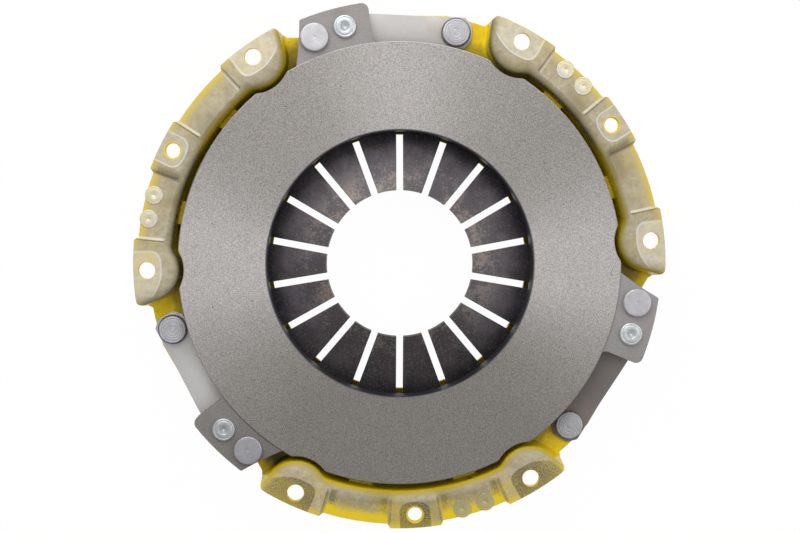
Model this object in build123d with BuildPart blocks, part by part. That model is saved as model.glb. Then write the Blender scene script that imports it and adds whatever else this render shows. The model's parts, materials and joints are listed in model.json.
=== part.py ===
from build123d import *
from math import atan2, cos, degrees, hypot, radians, sin, tan
import os

# Pull-type clutch cover assembly, in millimetres.
# +Z runs along the axis towards the flywheel. The flange pads' faces lie at z = 0,
# and the origin is the centre of the bolt circle on that plane.

os.makedirs("parts", exist_ok=True)

# Layout round the axis: three pad groups, with a lug and a strap pack between each two
group_count = 3
first_group = 30.0
group_pitch = 360.0 / group_count
bolt_offset = 28.0
strap_rivet_offset = 42.9
lug_rivet_offset = 69.75
stop_pin_offset = 77.35
flange_rivet_offsets = (10.9, 16.35)
flange_rivet_circle = 139.0

# Flange and its holes
sheet = 4.0
bolt_circle = 137.9
bolt_hole = 9.2
dowel_hole = 8.0
dowel_chamfer = 0.4
dowel_chamfer_angle = 90.0
pad_radius = 145.2
recess_radius = 143.0
recess_depth = 1.2
recess_inner = 127.0
recess_slope = 40.0
centre_pad_half = 5.5
outer_pad_start = 21.3
group_half = 35.3
group_foot_half = 36.9
group_corner_round = 2.0
step_turn = 0.7

# Stamped dish of the cover
wall_radius = 126.0
wall_draft = 6.0
bulge_radius = 16.2
bulge_splay = 20.0
bulge_blend = 8.0
pad_round = 7.0
shelf_z = -20.4
shelf_radius = 139.5
bay_edge_radius = 137.3
bay_edge_start = 46.0
bay_edge_stop = 53.5
foot_dip_radius = 136.8
foot_dip_angle = 39.2
foot_dip_half = 2.3
shelf_edge_radius = 120.0
shelf_round = 5.0
floor_z = -36.1
foot_radius = 118.8
foot_round = 5.0
opening_radius = 72.0
lip_width = 7.0
lip_rise = 2.5
lip_round = 6.0
tab_offset = 13.5
tab_half = 3.0
tab_radius = 122.6
tab_z = -14.0
tab_taper = 0.75

# Fulcrum ring in the cover's floor
wire_radius = 2.0
fulcrum_radius = 113.0
fulcrum_sink = 1.0
wire_gap = 1.5

# Diaphragm spring, in its free cone
spring_sheet = 2.6
cone_angle = 13.0
rim_radius = 116.0
tip_radius = 40.7
finger_count = 18
first_slot = 6.6
slot_width = 3.8
root_radius = 85.0
root_hole = 8.0
spring_edge = 0.5

# Pressure plate
face_z = -3.0
back_z = -21.0
plate_radius = 121.5
plate_bore = 146.0
band_bottom_z = -11.0
body_radius = 117.0
bore_chamfer = 0.8
bore_relief = 2.0
face_chamfer = 0.5
ridge_radius = 92.0
ridge_crest = 3.0
ridge_foot = 6.5
crest_start = -150.0
crest_sweep = 120.0
vent_count = 12
vent_width = 9.0
notch_radius = 19.6
notch_round = 4.0

# Lugs of the pressure plate
lug_top_z = -4.0
lug_bottom_z = -14.0
lug_radius = 143.6
lug_strap_side = 63.7
lug_far_corner = 79.1
lug_far_middle = (131.5, 81.5)
lug_far_foot = (120.0, 84.9)
lug_corner_round = 4.0
lug_tip_round = 1.2
lug_root_round = 4.0
lug_root_skirt = 6.0
lug_root_sink = 0.6

# Strap packs, each a stack of leaves from the cover's shelf up to a lug's back
strap_circle = 131.3
lug_rivet_circle = 132.7
stop_pin_circle = 131.9
leaf_count = 3
leaf = 0.7
strap_width = 17.2
strap_end = 9.0
strap_clip = 4.0
strap_clamped = 11.0

# Rivets, washers and stop pins
rivet_shank = 8.0
lug_head = 12.3
lug_head_height = 2.2
dimple = 4.7
strap_head = 14.8
strap_head_height = 3.2
washer_diameter = 16.4
washer_height = 0.8
tail_diameter = 12.4
tail_height = 2.2
pin_head = 15.3
pin_head_height = 3.0
pin_shank = 9.0
flange_head = 9.8
flange_shank = 6.0
flange_tail_height = 1.6
head_edge = 0.5

# Clearances
seat_gap = 0.3
ring_gap = 0.05
shank_gap = 0.05
pin_gap = 0.5
tail_notch_gap = 1.3
trim_radius = 150.0
trim_z = -60.0
over = 5.0
same_place = 0.01
same_angle = 0.1

# Sizes that follow from the ones above
ring_z = floor_z + wire_radius - fulcrum_sink
ring_to_spring = wire_radius + ring_gap + spring_sheet / 2
spring_seat_radius = fulcrum_radius + ring_to_spring * sin(radians(cone_angle))
spring_seat_z = ring_z + ring_to_spring * cos(radians(cone_angle))


def spring_height(radius):
    """Height of the spring's middle surface at a radius."""
    return spring_seat_z + (spring_seat_radius - radius) * tan(radians(cone_angle))


crest_lift = (spring_sheet / 2 + seat_gap + ridge_crest) / cos(radians(cone_angle))
crest_z = spring_height(ridge_radius) + crest_lift
pack_height = leaf_count * leaf
strap_rise = lug_bottom_z - pack_height - shelf_z
shelf_back_z = shelf_z - sheet


def polar(radius, angle, height=0.0):
    """Point at a radius, an angle in degrees and a height."""
    return Vector(radius * cos(radians(angle)), radius * sin(radians(angle)), height)


def group_angle(index):
    """Angle of a pad group's centre."""
    return first_group + group_pitch * index


def bearing_in_group(corner):
    """Angle of a corner, counted from the centre of the pad group before it."""
    return (degrees(atan2(corner.Y, corner.X)) - first_group) % group_pitch


def corners_at(plan, bearing, radius):
    """Outline corners at a radius and at an angle from the pad group before them."""
    on_circle = plan.vertices().filter_by(lambda v: abs(hypot(v.X, v.Y) - radius) < same_place)
    return on_circle.filter_by(lambda v: abs(bearing_in_group(v) - bearing) < same_angle)


def ring_sector(inner, outer, start, stop):
    """Plan shape between two radii and two angles."""
    with BuildSketch() as shape:
        with BuildLine():
            low = CenterArc((0, 0), inner, start, stop - start)
            high = CenterArc((0, 0), outer, start, stop - start)
            Line(low @ 0, high @ 0)
            Line(low @ 1, high @ 1)
        make_face()
    return shape.sketch


def group_end(side, radius):
    """Plan shape from an outer bolt hole to the splayed end of its pad group."""
    hole = polar(bolt_circle, side * bolt_offset)
    out = polar(1, side * bolt_offset)
    along = polar(1, side * (bolt_offset + 90))
    splay = radians(bulge_splay)
    across = along * cos(splay) - out * sin(splay)
    onward = out * cos(splay) + along * sin(splay)
    touch = hole + across * radius
    far_out = 2 * bulge_radius
    with BuildSketch() as shape:
        with BuildLine():
            Polyline(hole, touch, touch + onward * far_out, hole + out * far_out, close=True)
        make_face()
    return shape.sketch


def flange_group(depth):
    """What lies behind one pad group's front surface, moved back by depth, centred on +X."""
    shift = depth * (1 - tan(radians(wall_draft)))
    bulge = bulge_radius - shift
    wall = wall_radius + shift
    reach = trim_radius + depth
    with BuildPart() as group:
        with BuildSketch(Plane.XY.offset(-depth)) as plan:
            add(ring_sector(wall, reach, -bolt_offset, bolt_offset))
            for side in (-1, 1):
                add(group_end(side, bulge))
                with Locations(polar(bolt_circle, side * bolt_offset)):
                    Circle(bulge)
            Circle(reach, mode=Mode.INTERSECT)
            corners = plan.vertices().filter_by(lambda v: abs(hypot(v.X, v.Y) - wall) < same_place)
            fillet(corners, bulge_blend + depth)
        extrude(amount=shelf_z + depth, taper=-wall_draft)
        extrude(group.faces().sort_by(Axis.Z)[0], amount=shelf_z - trim_z)
        top = group.faces().sort_by(Axis.Z)[-1]
        brink = top.edges().filter_by(lambda e: hypot((e @ 0.5).X, (e @ 0.5).Y) < reach - over)
        fillet(brink, pad_round - depth)
        with BuildSketch(Plane.XY.offset(-depth - recess_depth)):
            add(ring_sector(recess_inner, reach, centre_pad_half + step_turn, outer_pad_start - step_turn))
            add(ring_sector(recess_inner, reach, step_turn - outer_pad_start, -centre_pad_half - step_turn))
        extrude(amount=recess_depth + over, taper=-recess_slope, mode=Mode.SUBTRACT)
    return group.part


def cover_form(depth):
    """Everything behind the cover's front surface, with that surface moved back by depth."""
    floor = floor_z - depth
    shelf = shelf_z - depth
    reach = trim_radius + depth
    bottom = trim_z - depth
    inside = opening_radius - over - depth
    lip_foot = opening_radius + lip_width
    lip_top = floor + lip_rise * (lip_foot - inside) / lip_width
    with BuildPart() as form:
        with BuildSketch(Plane.XZ):
            with BuildLine():
                surface = FilletPolyline(
                    (inside, lip_top),
                    (lip_foot, floor),
                    (foot_radius + depth, floor),
                    (shelf_edge_radius + depth, shelf),
                    (reach, shelf),
                    radius=[lip_round + depth, foot_round + depth, shelf_round - depth],
                )
                Polyline((reach, shelf), (reach, bottom), (inside, bottom), (inside, lip_top))
            make_face()
        revolve(axis=Axis.Z)
        with PolarLocations(0, group_count, start_angle=first_group):
            add(flange_group(depth))
        with BuildSketch(Plane.XY.offset(bottom)):
            half = tab_half - tab_taper * degrees(depth / tab_radius)
            for side in (-1, 1):
                for index in range(group_count):
                    middle = group_angle(index) + side * tab_offset
                    rim = wall_radius + depth + over
                    add(ring_sector(tab_radius + depth, rim, middle - half, middle + half))
        extrude(amount=tab_z - depth - bottom)
    return form.part


def at_group_end(corner):
    """Whether an outline corner is the outer corner at an end of a pad group."""
    bearing = bearing_in_group(corner)
    from_middle = min(bearing, group_pitch - bearing)
    return abs(from_middle - group_half) < same_angle


def cover_plan():
    """Outline of the cover seen along the axis, with its three pad groups."""
    half_group = [
        (0.0, pad_radius),
        (centre_pad_half, pad_radius),
        (centre_pad_half + step_turn, recess_radius),
        (outer_pad_start - step_turn, recess_radius),
        (outer_pad_start, pad_radius),
        (group_half, pad_radius),
        (group_foot_half, shelf_radius),
    ]
    mirrored = [(-angle, radius) for angle, radius in reversed(half_group[1:])]
    tail_notch = lug_rivet_offset - group_pitch
    bay_before = [
        (-group_pitch / 2, bay_edge_radius),
        (tail_notch, bay_edge_radius),
        (tail_notch, shelf_radius),
        (-foot_dip_angle - foot_dip_half, shelf_radius),
        (-foot_dip_angle, foot_dip_radius),
    ]
    bay_after = [
        (bay_edge_start, shelf_radius),
        (bay_edge_stop, bay_edge_radius),
        (group_pitch / 2, bay_edge_radius),
    ]
    corners = bay_before + mirrored + half_group[1:] + bay_after
    with BuildSketch() as shape:
        with BuildLine():
            for index in range(group_count):
                for (start, near), (stop, far) in zip(corners, corners[1:]):
                    middle = group_angle(index)
                    if near == far:
                        CenterArc((0, 0), near, middle + start, stop - start)
                    else:
                        Line(polar(near, middle + start), polar(far, middle + stop))
        make_face()
        ends = shape.vertices().filter_by(lambda v: at_group_end(v))
        fillet(ends, group_corner_round)
    return shape.sketch


# Cover
with BuildPart() as cover:
    add(cover_form(0))
    add(cover_form(sheet), mode=Mode.SUBTRACT)
    with BuildSketch(Plane.XY.offset(trim_z)):
        add(cover_plan())
        Circle(opening_radius, mode=Mode.SUBTRACT)
    extrude(amount=over - trim_z, mode=Mode.INTERSECT)
    for bolt_side in (-1, 1):
        with PolarLocations(bolt_circle, group_count, start_angle=first_group + bolt_side * bolt_offset):
            Hole(bolt_hole / 2)
    with PolarLocations(bolt_circle, group_count, start_angle=first_group):
        mouth = dowel_hole / 2 + dowel_chamfer
        CounterSinkHole(dowel_hole / 2, mouth, counter_sink_angle=dowel_chamfer_angle)
    for rivet_offset in flange_rivet_offsets:
        with PolarLocations(flange_rivet_circle, group_count, start_angle=first_group + rivet_offset):
            Hole(flange_shank / 2 + shank_gap)
    with PolarLocations(strap_circle, group_count, start_angle=first_group + strap_rivet_offset):
        Hole(rivet_shank / 2 + shank_gap)
    with PolarLocations(stop_pin_circle, group_count, start_angle=first_group + stop_pin_offset):
        Hole(pin_shank / 2 + pin_gap)
    with BuildSketch(Plane.XY.offset(shelf_z + over)):
        with PolarLocations(lug_rivet_circle, group_count, start_angle=first_group + lug_rivet_offset):
            Circle(tail_diameter / 2 + tail_notch_gap)
            to_edge = shelf_radius - lug_rivet_circle
            with Locations((to_edge, 0)):
                Rectangle(2 * to_edge, tail_diameter + 2 * tail_notch_gap)
    extrude(amount=-sheet - 2 * over, mode=Mode.SUBTRACT)
    with Locations((0, 0, ring_z)):
        Torus(fulcrum_radius, wire_radius + ring_gap, mode=Mode.SUBTRACT)
cover.part.label = "cover"
export_step(cover.part, "parts/cover.step")

# Fulcrum ring: a split wire ring, sunk into the cover's floor
with BuildPart() as fulcrum_ring:
    with BuildSketch(Plane.XZ):
        with Locations((fulcrum_radius, ring_z)):
            Circle(wire_radius)
    revolve(axis=Axis.Z, revolution_arc=360 - degrees(wire_gap / fulcrum_radius))
fulcrum_ring.part.label = "fulcrum_ring"
export_step(fulcrum_ring.part, "parts/fulcrum_ring.step")

# Diaphragm spring: a coned disc with slots that end in round holes
with BuildPart() as diaphragm_spring:
    lean = spring_sheet / 2 / cos(radians(cone_angle))
    with BuildSketch(Plane.XZ) as cone_section:
        with BuildLine():
            Polyline(
                (tip_radius, spring_height(tip_radius) - lean),
                (rim_radius, spring_height(rim_radius) - lean),
                (rim_radius, spring_height(rim_radius) + lean),
                (tip_radius, spring_height(tip_radius) + lean),
                close=True,
            )
        make_face()
        chamfer(cone_section.vertices(), spring_edge)
    revolve(axis=Axis.Z)
    with BuildSketch():
        with PolarLocations(root_radius, finger_count, start_angle=first_slot):
            Circle(root_hole / 2)
            with Locations((-root_radius / 2, 0)):
                Rectangle(root_radius, slot_width)
    extrude(amount=floor_z, mode=Mode.SUBTRACT)
diaphragm_spring.part.label = "diaphragm_spring"
export_step(diaphragm_spring.part, "parts/diaphragm_spring.step")

# Pressure plate: a ring with a ground face, a fulcrum ridge behind and three lugs
with BuildPart() as pressure_plate:
    with BuildSketch(Plane.XZ):
        with BuildLine():
            Polyline(
                (plate_bore / 2, face_z),
                (plate_radius + over, face_z),
                (plate_radius + over, band_bottom_z + over),
                (body_radius, band_bottom_z - (plate_radius - body_radius)),
                (body_radius, back_z),
                (plate_bore / 2 + bore_relief, back_z),
                (plate_bore / 2, back_z + bore_relief),
                close=True,
            )
        make_face()
    revolve(axis=Axis.Z)
    with BuildSketch(Plane.XY.offset(face_z)) as rim_plan:
        Circle(plate_radius)
        for bolt_side in (-1, 1):
            notch_start = first_group + bolt_side * bolt_offset
            with PolarLocations(bolt_circle, group_count, start_angle=notch_start):
                Circle(notch_radius, mode=Mode.SUBTRACT)
        fillet(rim_plan.vertices(), notch_round)
    extrude(amount=back_z - face_z, mode=Mode.INTERSECT)
    face = pressure_plate.faces().sort_by(Axis.Z)[-1]
    chamfer(face.outer_wire().edges(), face_chamfer)
    face = pressure_plate.faces().sort_by(Axis.Z)[-1]
    chamfer(face.inner_wires().edges(), bore_chamfer)
    with BuildSketch(Plane.XY.offset(lug_top_z)) as lug_plan:
        for index in range(group_count):
            turn = group_angle(index)
            with BuildLine():
                near = turn + lug_strap_side
                rim = CenterArc((0, 0), lug_radius, near, lug_far_corner - lug_strap_side)
                far_side = ThreePointArc(
                    rim @ 1,
                    polar(lug_far_middle[0], turn + lug_far_middle[1]),
                    polar(lug_far_foot[0], turn + lug_far_foot[1]),
                )
                Polyline(
                    far_side @ 1,
                    polar(body_radius - over, turn + lug_far_foot[1]),
                    polar(body_radius - over, near - lug_root_skirt),
                    polar(plate_radius - lug_root_sink, near - lug_root_skirt),
                    polar(plate_radius - lug_root_sink, near),
                    rim @ 0,
                )
            make_face()
        fillet(corners_at(lug_plan, lug_strap_side, lug_radius), lug_corner_round)
        fillet(corners_at(lug_plan, lug_far_corner, lug_radius), lug_tip_round)
        fillet(corners_at(lug_plan, lug_strap_side, plate_radius - lug_root_sink), lug_root_round)
    extrude(amount=lug_bottom_z - lug_top_z)
    with BuildSketch(Plane.XZ) as ridge_section:
        with BuildLine():
            Line((ridge_radius - ridge_foot, back_z), (ridge_radius + ridge_foot, back_z))
            crest = CenterArc((ridge_radius, crest_z), ridge_crest, crest_start, crest_sweep)
            Line((ridge_radius - ridge_foot, back_z), crest @ 0)
            Line(crest @ 1, (ridge_radius + ridge_foot, back_z))
        make_face()
    revolve(axis=Axis.Z)
    with BuildSketch(Plane.XY.offset(back_z)):
        with PolarLocations(ridge_radius, vent_count, start_angle=first_group):
            Rectangle(ridge_foot * 2 + over, vent_width)
    extrude(amount=crest_z - ridge_crest - over - back_z, mode=Mode.SUBTRACT)
    with PolarLocations(lug_rivet_circle, group_count, start_angle=first_group + lug_rivet_offset):
        Hole(rivet_shank / 2 + shank_gap)
    with PolarLocations(stop_pin_circle, group_count, start_angle=first_group + stop_pin_offset):
        Hole(pin_shank / 2 + shank_gap)
pressure_plate.part.label = "pressure_plate"
export_step(pressure_plate.part, "parts/pressure_plate.step")


def upright(spot):
    """Upright plane through a point on the axis of a pin, for a turned section."""
    return Plane(origin=spot, x_dir=(1, 0, 0), z_dir=(0, -1, 0))


for index in range(group_count):
    number = index + 1
    cover_end = polar(strap_circle, group_angle(index) + strap_rivet_offset, shelf_z)
    lug_end = polar(lug_rivet_circle, group_angle(index) + lug_rivet_offset, shelf_z)
    pin_spot = polar(stop_pin_circle, group_angle(index) + stop_pin_offset)
    chord = (lug_end - cover_end).normalized()
    strap_span = (lug_end - cover_end).length

    # Strap leaves: flat where they are clamped, with one soft S-bend between
    for layer in range(leaf_count):
        with BuildPart() as strap_leaf:
            with BuildSketch(Plane(origin=cover_end, x_dir=chord, z_dir=chord.cross(Vector(0, 0, 1)))):
                with BuildLine():
                    low = layer * leaf
                    edges = []
                    for height in (low, low + leaf):
                        flat = Line((-strap_end, height), (strap_clamped, height))
                        bend = Spline(
                            flat @ 1,
                            (strap_span - strap_clamped, height + strap_rise),
                            tangents=[(1, 0), (1, 0)],
                        )
                        tail = Line(bend @ 1, (strap_span + strap_end, height + strap_rise))
                        edges.append((flat @ 0, tail @ 1))
                    Line(edges[0][0], edges[1][0])
                    Line(edges[0][1], edges[1][1])
                make_face()
            extrude(amount=strap_width / 2, both=True)
            with BuildSketch(Plane(origin=cover_end, x_dir=chord, z_dir=(0, 0, 1))) as strap_plan:
                with Locations((strap_span / 2, 0)):
                    Rectangle(strap_span + 2 * strap_end, strap_width)
                lengthwise = Axis(cover_end, chord)
                chamfer(strap_plan.vertices().group_by(lengthwise)[0], strap_clip)
                fillet(strap_plan.vertices().group_by(lengthwise)[-1], strap_clip)
            extrude(amount=strap_rise + pack_height, mode=Mode.INTERSECT)
            with Locations(cover_end, lug_end):
                Hole(rivet_shank / 2 + shank_gap)
        strap_leaf.part.label = f"strap_{number}_leaf_{layer + 1}"
        export_step(strap_leaf.part, f"parts/strap_{number}_leaf_{layer + 1}.step")

    # Washer between the strap pack and the head of its cover rivet
    with BuildPart() as strap_washer:
        with BuildSketch(Plane.XY.offset(shelf_z + pack_height)):
            with Locations(cover_end):
                Circle(washer_diameter / 2)
                Circle(rivet_shank / 2 + shank_gap, mode=Mode.SUBTRACT)
        extrude(amount=washer_height)
    strap_washer.part.label = f"strap_washer_{number}"
    export_step(strap_washer.part, f"parts/strap_washer_{number}.step")

    # Rivet that holds the strap pack to the cover's shelf
    with BuildPart() as cover_rivet:
        with BuildSketch(upright(Vector(cover_end.X, cover_end.Y, 0))):
            head_seat = shelf_z + pack_height + washer_height
            with BuildLine():
                Polyline(
                    (0, shelf_back_z - tail_height),
                    (tail_diameter / 2 - head_edge, shelf_back_z - tail_height),
                    (tail_diameter / 2, shelf_back_z - tail_height + head_edge),
                    (tail_diameter / 2, shelf_back_z),
                    (rivet_shank / 2, shelf_back_z),
                    (rivet_shank / 2, head_seat),
                    (strap_head / 2, head_seat),
                    (strap_head / 2, head_seat + strap_head_height - head_edge),
                    (strap_head / 2 - head_edge, head_seat + strap_head_height),
                    (0, head_seat + strap_head_height),
                    close=True,
                )
            make_face()
        revolve(axis=Axis((cover_end.X, cover_end.Y, 0), (0, 0, 1)))
    cover_rivet.part.label = f"cover_rivet_{number}"
    export_step(cover_rivet.part, f"parts/cover_rivet_{number}.step")

    # Rivet that holds the strap pack to the lug, with a cone-shaped dimple in its head
    with BuildPart() as lug_rivet:
        with BuildSketch(upright(Vector(lug_end.X, lug_end.Y, 0))):
            pack_back = lug_bottom_z - pack_height
            with BuildLine():
                Polyline(
                    (0, pack_back - tail_height),
                    (tail_diameter / 2 - head_edge, pack_back - tail_height),
                    (tail_diameter / 2, pack_back - tail_height + head_edge),
                    (tail_diameter / 2, pack_back),
                    (rivet_shank / 2, pack_back),
                    (rivet_shank / 2, lug_top_z),
                    (lug_head / 2, lug_top_z),
                    (lug_head / 2, lug_top_z + lug_head_height - head_edge),
                    (lug_head / 2 - head_edge, lug_top_z + lug_head_height),
                    (dimple / 2, lug_top_z + lug_head_height),
                    (0, lug_top_z + lug_head_height - dimple / 2),
                    close=True,
                )
            make_face()
        revolve(axis=Axis((lug_end.X, lug_end.Y, 0), (0, 0, 1)))
    lug_rivet.part.label = f"lug_rivet_{number}"
    export_step(lug_rivet.part, f"parts/lug_rivet_{number}.step")

    # Stop pin: pressed into the lug, its tail stays behind the cover's shelf
    with BuildPart() as stop_pin:
        with BuildSketch(upright(pin_spot)):
            stop_z = shelf_back_z - seat_gap
            with BuildLine():
                Polyline(
                    (0, stop_z - tail_height),
                    (tail_diameter / 2 - head_edge, stop_z - tail_height),
                    (tail_diameter / 2, stop_z - tail_height + head_edge),
                    (tail_diameter / 2, stop_z),
                    (pin_shank / 2, stop_z),
                    (pin_shank / 2, lug_top_z),
                    (pin_head / 2, lug_top_z),
                    (pin_head / 2, lug_top_z + pin_head_height - head_edge),
                    (pin_head / 2 - head_edge, lug_top_z + pin_head_height),
                    (0, lug_top_z + pin_head_height),
                    close=True,
                )
            make_face()
        revolve(axis=Axis(pin_spot, (0, 0, 1)))
    stop_pin.part.label = f"stop_pin_{number}"
    export_step(stop_pin.part, f"parts/stop_pin_{number}.step")

    # Flange rivets: two flat plugs in one recess of the group
    for letter, rivet_offset in zip("ab", flange_rivet_offsets):
        spot = polar(flange_rivet_circle, group_angle(index) + rivet_offset)
        with BuildPart() as flange_rivet:
            with BuildSketch(upright(spot)):
                with BuildLine():
                    Polyline(
                        (0, -sheet - recess_depth - flange_tail_height),
                        (flange_head / 2, -sheet - recess_depth - flange_tail_height),
                        (flange_head / 2, -sheet - recess_depth),
                        (flange_shank / 2, -sheet - recess_depth),
                        (flange_shank / 2, -recess_depth),
                        (flange_head / 2, -recess_depth),
                        (flange_head / 2, -recess_depth + head_edge),
                        (0, -recess_depth + head_edge),
                        close=True,
                    )
                make_face()
            revolve(axis=Axis(spot, (0, 0, 1)))
        flange_rivet.part.label = f"flange_rivet_{number}{letter}"
        export_step(flange_rivet.part, f"parts/flange_rivet_{number}{letter}.step")
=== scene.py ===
# %% [markdown]
# # A clutch pressure plate, from its CAD frame to a finished picture
#
# The object is a clutch cover assembly that lies on its back on a white table. We look straight
# down on the ground iron face that presses on the clutch disc. Round it runs a yellow painted
# steel cover with three groups of pads, and three spring steel straps join the two.
#
# The CAD model brings every solid in its true place, in metres. This lesson gives the solids
# their finish, and swaps the small turned and bent pieces for ones with more detail.

# %% Load the CAD frame
import json
from math import atan2, cos, degrees, hypot, pi, radians, sin, tan

import bmesh
import bpy
from mathutils import Matrix, Vector

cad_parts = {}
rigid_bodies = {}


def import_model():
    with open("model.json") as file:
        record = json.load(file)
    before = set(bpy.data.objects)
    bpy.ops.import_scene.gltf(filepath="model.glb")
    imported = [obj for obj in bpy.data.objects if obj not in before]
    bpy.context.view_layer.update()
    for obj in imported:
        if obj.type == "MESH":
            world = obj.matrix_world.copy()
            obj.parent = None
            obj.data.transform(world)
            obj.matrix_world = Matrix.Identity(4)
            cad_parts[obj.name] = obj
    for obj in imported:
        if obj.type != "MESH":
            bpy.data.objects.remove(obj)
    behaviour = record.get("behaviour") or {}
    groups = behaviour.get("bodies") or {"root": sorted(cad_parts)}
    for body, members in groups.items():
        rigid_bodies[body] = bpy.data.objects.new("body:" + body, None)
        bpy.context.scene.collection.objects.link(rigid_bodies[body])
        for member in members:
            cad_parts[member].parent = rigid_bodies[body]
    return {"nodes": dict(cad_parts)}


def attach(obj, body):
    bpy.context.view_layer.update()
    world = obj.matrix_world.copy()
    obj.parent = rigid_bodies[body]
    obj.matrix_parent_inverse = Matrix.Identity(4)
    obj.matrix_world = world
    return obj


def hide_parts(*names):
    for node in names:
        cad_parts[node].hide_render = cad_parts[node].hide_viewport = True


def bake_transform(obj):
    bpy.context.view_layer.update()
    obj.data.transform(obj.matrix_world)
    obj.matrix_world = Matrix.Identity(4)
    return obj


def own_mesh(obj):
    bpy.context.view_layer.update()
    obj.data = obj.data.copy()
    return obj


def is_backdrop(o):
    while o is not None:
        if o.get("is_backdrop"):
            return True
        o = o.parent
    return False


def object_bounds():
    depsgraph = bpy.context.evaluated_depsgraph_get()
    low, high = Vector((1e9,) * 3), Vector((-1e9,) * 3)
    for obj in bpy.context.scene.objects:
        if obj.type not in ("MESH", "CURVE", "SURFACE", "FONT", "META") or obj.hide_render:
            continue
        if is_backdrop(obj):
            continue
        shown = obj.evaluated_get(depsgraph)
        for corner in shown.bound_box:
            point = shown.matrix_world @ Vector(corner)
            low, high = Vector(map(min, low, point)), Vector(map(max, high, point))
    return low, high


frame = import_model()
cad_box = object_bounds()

# %% [markdown]
# ## Sizes that several pieces share
#
# The pieces have to land exactly where the CAD solids are, so the lesson repeats the few sizes
# of the drawing that it needs. They are millimetres, and `MM` makes metres of them. Three pad
# groups sit 120 degrees apart, and everything else is counted from a group's centre line.

# %% Sizes from the drawing
MM = 0.001
GROUPS = 3
SECTOR = 360.0 / GROUPS
FIRST_GROUP = 30.0
BOLT_CIRCLE = 137.9
BOLT_OFFSET = 28.0
STRAP_CIRCLE, STRAP_RIVET_OFFSET = 131.3, 42.9
LUG_RIVET_CIRCLE, LUG_RIVET_OFFSET = 132.7, 69.75
STOP_PIN_CIRCLE, STOP_PIN_OFFSET = 131.9, 77.35
FLANGE_RIVETS = (("a", 10.9), ("b", 16.35))
FLANGE_RIVET_CIRCLE = 139.0
SHEET = 4.0
SHELF = -20.4
LUG_TOP, LUG_BACK = -4.0, -14.0
LEAF, LEAVES, STRAP_WIDTH = 0.7, 3, 17.2
RECESS, PAD_RADIUS, RECESS_RADIUS, TAB_OFFSET = 1.2, 145.2, 143.0, 13.5
PLATE_RADIUS, PLATE_BORE = 121.5, 73.0
PACK, WASHER = LEAF * LEAVES, 0.8


def on_circle(radius, angle):
    """A point in millimetres, at a radius and an angle in degrees."""
    return Vector((radius * cos(radians(angle)), radius * sin(radians(angle)), 0.0))


STRAP_START = on_circle(STRAP_CIRCLE, FIRST_GROUP + STRAP_RIVET_OFFSET)
STRAP_STOP = on_circle(LUG_RIVET_CIRCLE, FIRST_GROUP + LUG_RIVET_OFFSET)
for end, point in (("starts", STRAP_START), ("stops", STRAP_STOP)):
    print("the first strap", end, "at", [round(v, 1) for v in point])

# %% [markdown]
# ## Shader maths that reads like sums
#
# Every finish below is a recipe of masks: how far from the axis, how high, how near to a hole.
# Wiring such sums by hand fills the node editor, so a small class wraps one socket and lets us
# write `1 - mask` or `radius * 2`. Each sum adds its Math nodes by itself. Colours go through
# Mix and Vector Math nodes, because a Math node would turn them grey.

# %% A socket that can be reckoned with
class Value:
    """One output socket of a finish, with the sums that the masks need."""

    def __init__(self, finish, socket):
        self.finish = finish
        self.socket = socket

    def math(self, operation, *others):
        links = dict(enumerate((self, *others)))
        return self.finish.node("ShaderNodeMath", {"operation": operation}, links)

    def __add__(self, other):
        return self.math("ADD", other)

    __radd__ = __add__

    def __mul__(self, other):
        return self.math("MULTIPLY", other)

    __rmul__ = __mul__

    def __sub__(self, other):
        return self.math("SUBTRACT", other)

    def __rsub__(self, other):
        return (self * -1).math("ADD", other)

    def __truediv__(self, other):
        return self.math("DIVIDE", other)

    def __pow__(self, other):
        return self.math("POWER", other)

    def __abs__(self):
        return self.math("ABSOLUTE")


class Finish:
    """A material that is built up node by node."""

    def __init__(self, name):
        self.material = bpy.data.materials.new(name)
        self.material.use_nodes = True
        self.tree = self.material.node_tree
        self.shader = self.tree.nodes["Principled BSDF"]

    def node(self, kind, settings=None, links=None, out=0):
        """Adds any node: its settings first, then the values or links of its sockets."""
        made = self.tree.nodes.new(kind)
        for name, value in (settings or {}).items():
            setattr(made, name, value)
        for name, value in (links or {}).items():
            self.plug(made.inputs[name], value)
        return Value(self, made.outputs[out])

    def plug(self, socket, value):
        if isinstance(value, Value):
            self.tree.links.new(value.socket, socket)
        else:
            socket.default_value = value

    def set(self, **sockets):
        """Sets the shader's own sockets: base_color=..., roughness=... and so on."""
        for name, value in sockets.items():
            self.plug(self.shader.inputs[name.replace("_", " ").title()], value)
        return self

    def fade(self, value, low, high):
        """0 below low, 1 above high, and a soft step between. Low may be the larger one."""
        start, stop = min(low, high), max(low, high)
        soft = self.node("ShaderNodeMapRange", {"interpolation_type": "SMOOTHSTEP"},
                         {"Value": value, "From Min": start, "From Max": stop})
        return soft if low < high else 1 - soft

    def mix(self, share, first, second):
        """Colour between first and second."""
        return self.node("ShaderNodeMix", {"data_type": "RGBA"}, {0: share, 6: first, 7: second}, 2)

    def shade(self, colour, factor):
        """The colour times a factor: darker below 1, lighter above it."""
        return self.node("ShaderNodeVectorMath", {"operation": "SCALE"}, {0: colour, "Scale": factor})

    def noise(self, scale, detail, roughness=0.5):
        """A cloud pattern; scale counts its blotches per metre."""
        links = {"Vector": self.place(), "Scale": scale, "Detail": detail, "Roughness": roughness}
        return self.node("ShaderNodeTexNoise", None, links)

    def place(self):
        """Where a point lies on the object, in metres."""
        return self.node("ShaderNodeTexCoord", None, None, 3)


def tone(red, green, blue):
    """A colour given on the 0 to 255 scale, as the linear light that a shader wants."""
    linear = [(v / 255 / 12.92) if v < 11 else ((v / 255 + 0.055) / 1.055) ** 2.4 for v in (red, green, blue)]
    return (*linear, 1.0)


print("a mid grey of 150 is", round(tone(150, 150, 150)[0], 3), "in linear light")

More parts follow.
